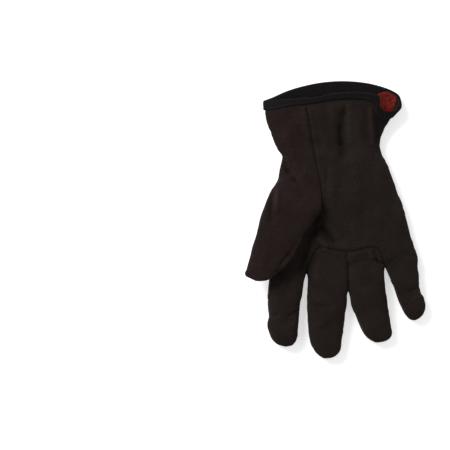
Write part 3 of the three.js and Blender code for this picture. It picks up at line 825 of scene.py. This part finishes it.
def drawn_back(points, triangles, gap):
    """Moves a panel's edge a little into the panel."""
    edges = edges_of(triangles)
    directed = np.sort(triangles[:, [0, 1, 1, 2, 2, 0]].reshape(-1, 2), axis=1)
    unique, count = np.unique(directed, axis=0, return_counts=True)
    rim_points = np.zeros(len(points), bool)
    rim_points[unique[count == 1].ravel()] = True
    total, number = np.zeros_like(points), np.zeros(len(points))
    for a, b in (edges.T, edges.T[::-1]):
        inward = rim_points[a] & ~rim_points[b]
        np.add.at(total, a[inward], points[b[inward]])
        np.add.at(number, a[inward], 1)
    moved = number > 0
    way = total[moved] / number[moved, None] - points[moved]
    way /= np.maximum(np.linalg.norm(way, axis=1), 1e-6)[:, None]
    out = points.copy()
    out[moved] += gap * way
    return out


def add_piece(name, points, faces, finish, replaced):
    mesh = new_mesh(name, points, faces.tolist() if hasattr(faces, "tolist") else faces)
    mesh.shade_smooth()
    mesh.set_sharp_from_angle(angle=math.radians(60))
    mesh.materials.append(finish)
    piece = bpy.data.objects.new(name, mesh)
    bpy.context.scene.collection.objects.link(piece)
    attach(piece, "root")
    if replaced:
        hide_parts(replaced)
    return piece


def socket_values(shader, values):
    for name, value in values.items():
        shader.inputs[name].default_value = value


normals = normals_of(skin, triangles)
print("ready to build panels")

# %% [markdown]
# ## Brown jersey
# The cloth is a cotton knit, brushed until the loops almost disappear under a short nap. So its
# colour is uneven in soft clouds, it has no gloss, and light grazing it catches the nap's tips,
# which is what sheen is for. Fine ribs of the knit run along the glove. The colours of the
# clouds come from noise in the object's own space, so nothing slides when it turns. The panels
# are cut from different lots of cloth: the thumb is a little redder, the palm more olive. Two
# numbers on each point of a panel paint light and shade into its colour: painted shade in the
# seams, in creases and on the cuff's side, and a painted highlight on ridges.

# %% Mix the jersey
def finish(name, values):
    material = bpy.data.materials.new(name)
    material.use_nodes = True
    nodes, links = material.node_tree.nodes, material.node_tree.links
    shader = nodes["Principled BSDF"]
    socket_values(shader, values)
    return material, nodes, links, shader


def noise_node(nodes, links, place, scale, detail, rough=0.55):
    node = nodes.new("ShaderNodeTexNoise")
    node.inputs["Scale"].default_value = scale
    node.inputs["Detail"].default_value = detail
    node.inputs["Roughness"].default_value = rough
    links.new(place, node.inputs["Vector"])
    return node.outputs["Fac"]


def math_node(nodes, links, operation, a, b):
    node = nodes.new("ShaderNodeMath")
    node.operation = operation
    for socket, value in zip(node.inputs, (a, b)):
        if isinstance(value, (int, float)):
            socket.default_value = value
        else:
            links.new(value, socket)
    return node.outputs[0]


def ramp_node(nodes, links, factor, stops):
    node = nodes.new("ShaderNodeValToRGB")
    for i, (place, colour) in enumerate(stops):
        stop = node.color_ramp.elements[i] if i < 2 else node.color_ramp.elements.new(place)
        stop.position = place
        stop.color = (*colour, 1)
    links.new(factor, node.inputs["Fac"])
    return node.outputs["Color"]


def bump_node(nodes, links, height, distance, strength=1.0, under=None):
    node = nodes.new("ShaderNodeBump")
    node.inputs["Strength"].default_value = strength
    node.inputs["Distance"].default_value = distance
    links.new(height, node.inputs["Height"])
    if under:
        links.new(under, node.inputs["Normal"])
    return node.outputs["Normal"]


def toned(nodes, links, colour, attribute, strength, tint):
    """Multiplies a colour by a tint as far as the mesh's attribute says."""
    share = nodes.new("ShaderNodeAttribute")
    share.attribute_name = attribute
    factor = math_node(nodes, links, "MULTIPLY", share.outputs["Fac"], strength)
    mix = nodes.new("ShaderNodeMix")
    mix.data_type = "RGBA"
    mix.blend_type = "MULTIPLY"
    mix.inputs["B"].default_value = (*tint, 1)
    links.new(factor, mix.inputs["Factor"])
    links.new(colour, mix.inputs["A"])
    return mix.outputs["Result"]


def jersey(name, turned, dye):
    dark, light, middle = (
        [part * share for part, share in zip(brown, dye)]
        for brown in ((0.007, 0.0046, 0.0042), (0.0192, 0.0133, 0.0123), (0.012, 0.0083, 0.0077))
    )
    material, nodes, links, shader = finish(name, {
        "Roughness": 0.95,
        "Specular IOR Level": 0.08,
        "Sheen Weight": 0.09,
        "Sheen Roughness": 0.5,
        "Sheen Tint": (0.6, 0.45, 0.4, 1),
    })
    place = nodes.new("ShaderNodeTexCoord").outputs["Object"]
    turn_node = nodes.new("ShaderNodeMapping")
    turn_node.inputs["Rotation"].default_value = (0, 0, math.radians(turned))
    links.new(place, turn_node.inputs["Vector"])
    knit_place = turn_node.outputs["Vector"]
    clouds = noise_node(nodes, links, place, 60, 3)
    nap = noise_node(nodes, links, place, 620, 4, 0.7)
    mixed = math_node(nodes, links, "ADD",
                      math_node(nodes, links, "MULTIPLY", clouds, 0.4),
                      math_node(nodes, links, "MULTIPLY", nap, 0.6))
    colour = ramp_node(nodes, links, mixed, [(0.3, dark), (0.7, light), (0.5, middle)])
    # painted highlight on the ridges, read from a point attribute
    colour = toned(nodes, links, colour, "painted_highlight", 1.0, (1.4, 1.38, 1.35))
    # painted shade in the seams, in the creases and on the cuff's side, read from a point attribute
    colour = toned(nodes, links, colour, "painted_shade", 0.6, (0.35, 0.33, 0.32))
    links.new(colour, shader.inputs["Base Color"])
    ribs = nodes.new("ShaderNodeTexWave")
    ribs.wave_type = "BANDS"
    ribs.bands_direction = "X"
    ribs.inputs["Scale"].default_value = 250
    ribs.inputs["Distortion"].default_value = 1.5
    ribs.inputs["Detail"].default_value = 2
    links.new(knit_place, ribs.inputs["Vector"])
    knit = math_node(nodes, links, "MULTIPLY", ribs.outputs["Fac"], 0.25)
    height = math_node(nodes, links, "ADD", knit, nap)
    links.new(bump_node(nodes, links, height, 0.0005, 0.8), shader.inputs["Normal"])
    return material


browns = [
    jersey("brown jersey of the back", 0, (1.12, 1.0, 0.97)),
    jersey("brown jersey of the palm", 0, (1.0, 1.04, 0.93)),
    jersey("brown jersey of the middle finger", 0, (1.04, 1.02, 0.93)),
    jersey("brown jersey of the thumb", -25, (1.02, 0.88, 0.85)),
]
print("finishes:", [brown.name for brown in browns])

# %% Cut, thicken and place the panels
THINNED = 0.55  # the cloth is squeezed where the fleece swells over its edge
squeezed = puffed[side_number] * (1 - smooth_step(behind, 9, 13))
wall = WALL * (1 - THINNED * squeezed)
for number, name in enumerate(panels):
    mine = triangles[panel == number]
    outer = drawn_back(skin, mine, 0.13)
    inner = skin - normals * wall[:, None]
    inner[:, 2] = np.maximum(inner[:, 2], 0.2)
    piece_points, piece_faces = walled(outer, inner, mine)
    piece = add_piece(name + "_cloth", piece_points, piece_faces, browns[number], name)
    used = np.unique(mine)
    # the two point attributes carry the painted shade and the painted highlight into the finish
    for tone, values in (("painted_shade", painted_shade), ("painted_highlight", ridge_highlight)):
        attribute = piece.data.attributes.new(tone, "FLOAT", "POINT")
        attribute.data.foreach_set("value", np.tile(values[used], 2).astype(np.float32))
    print(name, len(piece_faces), "triangles")

# %% [markdown]
# ## The binding
# A strip of ribbed black tape is folded over the cuff's raw edge and sewn through. It is
# modelled as its folded profile, swept round the rim: flat on both faces, rounded over the edge.
# The profile lives in two numbers, how far out from the cloth and how far behind the rim.

# %% Sweep the tape round the rim
# the inner leaf is 3.5 mm wider on the back's side, black tape standing in for the shade in the slot
# behind the palm's edge
inner_width = BINDING_WIDTH + 3.5 * under_side - 7.0 * puffed
outer_width = BINDING_WIDTH - 2.6 * rolled


def outward(plain):
    """How each point of a section moves when the section grows all round by 1 mm."""
    flat = plain[:, [0, 2]]
    low, high = flat.min(0), flat.max(0)
    way = (flat - (low + high) / 2) / ((high - low) / 2)
    return np.c_[way[:, 0], np.zeros(len(way)), way[:, 1]]


def at_rim(distances, growth):
    """A ring at distances behind the rim, grown by an amount."""
    plain, ring = cuff_rings((distances / ways)[None, :])
    return ring[0] + outward(plain[0]) * (growth * np.ones(HAND_SIDES))[:, None]


def swept(profile):
    """Rings round the cuff, one for each point of a profile of (outward, behind the rim)."""
    rings = []
    for growth, distance in profile:
        inward = growth < -2.3
        width = inner_width if inward else outer_width
        reach = distance * np.maximum(width, 0.4) / BINDING_WIDTH if distance > 0 else distance
        thin = 1 - THINNED * puffed if growth < 0 else 1
        rings.append(at_rim(reach * np.ones(HAND_SIDES), growth * thin))
    return np.array(rings) + shift


def hoop_faces(rings, sides):
    i = np.arange(sides)
    n = (i + 1) % sides
    faces = []
    for r in range(rings):
        s = (r + 1) % rings
        faces.append(np.stack([r * sides + i, r * sides + n, s * sides + n, s * sides + i], axis=-1))
    return np.vstack(faces)


INNER = -WALL - SEAM_GAP
TAPE_PROFILE = [
    (0.3, 7.5), (0.75, 7.62), (1.12, 7.5), (1.28, 7.1), (1.3, 6.3), (1.28, 5.2), (1.3, 4),
    (1.32, 2.8), (1.34, 1.5), (1.3, 0.4), (1.15, -0.45), (0.75, -1.0), (0.1, -1.28),
    (-0.8, -1.38), (-1.7, -1.36), (-2.5, -1.15), (-3.05, -0.75), (-3.4, -0.1), (-3.5, 0.8),
    (-3.5, 2.2), (-3.48, 3.6), (-3.5, 5), (-3.5, 6.4), (-3.42, 7.1), (-3.2, 7.45), (-2.8, 7.5),
    (-2.52, 7.2), (-2.5, 4), (-2.5, 0.2), (-2.2, -0.22), (-1, -0.3), (0, -0.25), (0.3, 0.2),
    (0.3, 4),
]
tape_rings = swept(TAPE_PROFILE)
print("tape", tape_rings.shape)

# %% Black ribbed tape
def ribbed_tape(name):
    material, nodes, links, shader = finish(name, {
        "Roughness": 0.85,
        "Specular IOR Level": 0.08,
        "Sheen Weight": 0.04,
        "Sheen Roughness": 0.4,
        "Sheen Tint": (0.55, 0.5, 0.55, 1),
    })
    place = nodes.new("ShaderNodeTexCoord").outputs["Object"]
    specks = noise_node(nodes, links, place, 900, 3, 0.6)
    colour = ramp_node(nodes, links, specks, [
        (0.3, (0.0028, 0.0023, 0.0022)), (0.72, (0.0098, 0.0081, 0.008)),
    ])
    links.new(colour, shader.inputs["Base Color"])
    ribs = nodes.new("ShaderNodeTexWave")
    ribs.bands_direction = "X"
    ribs.inputs["Scale"].default_value = 320
    ribs.inputs["Distortion"].default_value = 0.8
    links.new(place, ribs.inputs["Vector"])
    height = math_node(nodes, links, "ADD", ribs.outputs["Fac"], specks)
    links.new(bump_node(nodes, links, height, 0.0003, 0.8), shader.inputs["Normal"])
    return material


black = ribbed_tape("black ribbed tape")
tape_points = tape_rings.reshape(-1, 3)
tape_faces = hoop_faces(len(TAPE_PROFILE), HAND_SIDES)
tape_points[:, 2] = np.maximum(tape_points[:, 2], 0)
add_piece("cuff_binding_tape", tape_points, tape_faces, black, "cuff_binding")
print("binding:", len(tape_faces), "faces")

# %% [markdown]
# ## The stitches that hold the tape
# A row of lockstitch runs along the tape's edge, on both of its faces. Each stitch is one short
# thread that comes up out of the tape and goes down again, so a small bent rod is enough. They
# are real geometry, as they catch the light one by one when the glove is seen from close by.

# %% Sew the tape on
STITCH_INSET, THREAD_RADIUS, THREAD_SIDES = 1.5, 0.2, 6


def stitch(start, end, out):
    """Rings round a short thread that rises from the tape and sinks into it again."""
    side = np.cross((end - start) / np.linalg.norm(end - start), out)
    turns = 2 * np.pi * np.arange(THREAD_SIDES)[:, None] / THREAD_SIDES
    rings = []
    for share, rise, size in ((0, -0.2, 0.6), (0.2, 0.08, 1), (0.8, 0.08, 1), (1, -0.2, 0.6)):
        middle = start + share * (end - start) + rise * out
        rings.append(middle + THREAD_RADIUS * size * (np.cos(turns) * side + np.sin(turns) * out))
    return np.array(rings)


stitch_points, stitch_faces = [], []
for width, growth, lift in ((outer_width, 1.3, 1), (inner_width, -3.5, -1)):
    squeezed_growth = growth * (1 - THINNED * puffed) if lift < 0 else growth
    sewn_line = at_rim(width - STITCH_INSET, squeezed_growth) + shift
    above = at_rim(width - STITCH_INSET, squeezed_growth + lift) + shift - sewn_line
    above /= np.linalg.norm(above, axis=1)[:, None]
    for k in range(0, HAND_SIDES, 3):
        if width[k] < 5:
            continue
        rings = stitch(sewn_line[k], sewn_line[(k + 2) % HAND_SIDES], above[k])
        first = sum(len(p) for p in stitch_points)
        stitch_faces += tube_faces(len(rings), THREAD_SIDES, first)
        stitch_points += [rings.reshape(-1, 3), rings[[0, -1]].mean(axis=1)]
thread, _, _, _ = finish("dark thread", {
    "Base Color": (0.012, 0.0095, 0.009, 1),
    "Roughness": 0.6,
    "Specular IOR Level": 0.3,
})
print(len(stitch_points) // 2, "stitches")
stitch_points = np.vstack(stitch_points)
stitch_points[:, 2] = np.maximum(stitch_points[:, 2], 0)
add_piece("binding_stitches", stitch_points, stitch_faces, thread, None)

# %% [markdown]
# ## The fleece inside
# Red brushed fleece lines the glove. It only shows inside the cuff, where the palm's edge stops
# short of the back's. Its surface is a soft pile, so the mesh itself is rough on a small scale.

# %% Build the lining
def red_fleece(name):
    material, nodes, links, shader = finish(name, {
        "Roughness": 1.0,
        "Specular IOR Level": 0.1,
        "Sheen Weight": 0.06,
        "Sheen Roughness": 0.6,
        "Sheen Tint": (1.0, 0.3, 0.22, 1),
    })
    place = nodes.new("ShaderNodeTexCoord").outputs["Object"]
    tufts = noise_node(nodes, links, place, 420, 4, 0.65)
    colour = ramp_node(nodes, links, tufts, [
        (0.3, (0.04, 0.0027, 0.0017)), (0.7, (0.15, 0.0135, 0.0078)),
    ])
    links.new(colour, shader.inputs["Base Color"])
    links.new(bump_node(nodes, links, tufts, 0.0012, 1.0), shader.inputs["Normal"])
    return material


red = red_fleece("red fleece")
tape_edge = BINDING_WIDTH / ways
last = tape_edge + (1 - tape_edge) * 0.9
first = (inner_width + SEAM_GAP) / ways
upper_half = np.arange(HAND_SIDES) < HAND_SIDES / 2
outer, inner = [], []
for share in np.linspace(0, 1, 60):
    behind_tape = first + (last - first) * share
    plain, ring = cuff_rings(behind_tape[None, :])
    way = outward(plain[0])
    squeeze = 1 - THINNED * puffed * (1 - smooth_step(behind_tape * ways, 8, 13))
    follow = np.maximum(wrinkle_height(ring[0] + shift), DEEPEST_IN_CUFF)
    follow *= smooth_step(behind_tape * ways, 8, 14) * upper_half
    end = min(1, share * 20, (1 - share) * 20)
    fuzz = (0.35 * waves(ring[0], 1.9, 7) + 0.4 * waves(ring[0], 4.5, 8)) * end
    top = INNER * squeeze - SEAM_GAP * puffed
    top = top + np.minimum(follow, 0)
    outer.append(ring[0] + way * top[:, None])
    inner.append(ring[0] + way * (top - LINING * (0.4 + 0.6 * end) - fuzz)[:, None])
lining_points = np.vstack(outer + inner[::-1]) + shift
lining_faces = hoop_faces(len(outer) + len(inner), HAND_SIDES)
add_piece("cuff_lining_fleece", lining_points, lining_faces, red, "cuff_lining")
print("lining:", len(lining_faces), "faces")

# %% [markdown]
# ## The table and the light
# The glove lies on a plain white table under large soft lights. The table glows a little, as a
# light table does, so the gaps between the fingers stay white. Cloth this dark needs much light
# to show its folds: one big panel stands on the upper left and a weaker one fills from the
# right, over a white world.

# %% Floor, lights and world
floor_mesh = bpy.data.meshes.new("floor")
floor_mesh.from_pydata([(-3, -3, 0), (3, -3, 0), (3, 3, 0), (-3, 3, 0)], [], [(0, 1, 2, 3)])
white, _, _, _ = finish("white table", {
    "Base Color": (0.85, 0.85, 0.85, 1),
    "Roughness": 0.9,
    "Specular IOR Level": 0.1,
    "Emission Color": (1, 1, 1, 1),
    "Emission Strength": 0.5,
})
floor_mesh.materials.append(white)
floor = bpy.data.objects.new("floor", floor_mesh)
bpy.context.scene.collection.objects.link(floor)


def soft_light(name, place, target, size, power):
    light = bpy.data.lights.new(name, "AREA")
    light.shape = "SQUARE"
    light.size = size
    light.energy = power
    lamp = bpy.data.objects.new(name, light)
    lamp.location = place
    way = np.array(target) - np.array(place)
    yaw = math.atan2(way[1], way[0]) - math.pi / 2
    tilt = math.atan2(math.hypot(way[0], way[1]), -way[2])
    lamp.rotation_euler = (tilt, 0, yaw)
    bpy.context.scene.collection.objects.link(lamp)
    return lamp


soft_light("key", place=(-0.75, 0.7, 0.75), target=(0, 0, 0), size=0.6, power=17)
soft_light("fill", place=(0.8, -0.3, 0.9), target=(0, 0, 0), size=1.0, power=1.2)
world = bpy.data.worlds.new("world")
world.use_nodes = True
world.node_tree.nodes["Background"].inputs["Color"].default_value = (1, 1, 1, 1)
world.node_tree.nodes["Background"].inputs["Strength"].default_value = 0.45
bpy.context.scene.world = world
bpy.context.scene.view_settings.view_transform = "Standard"
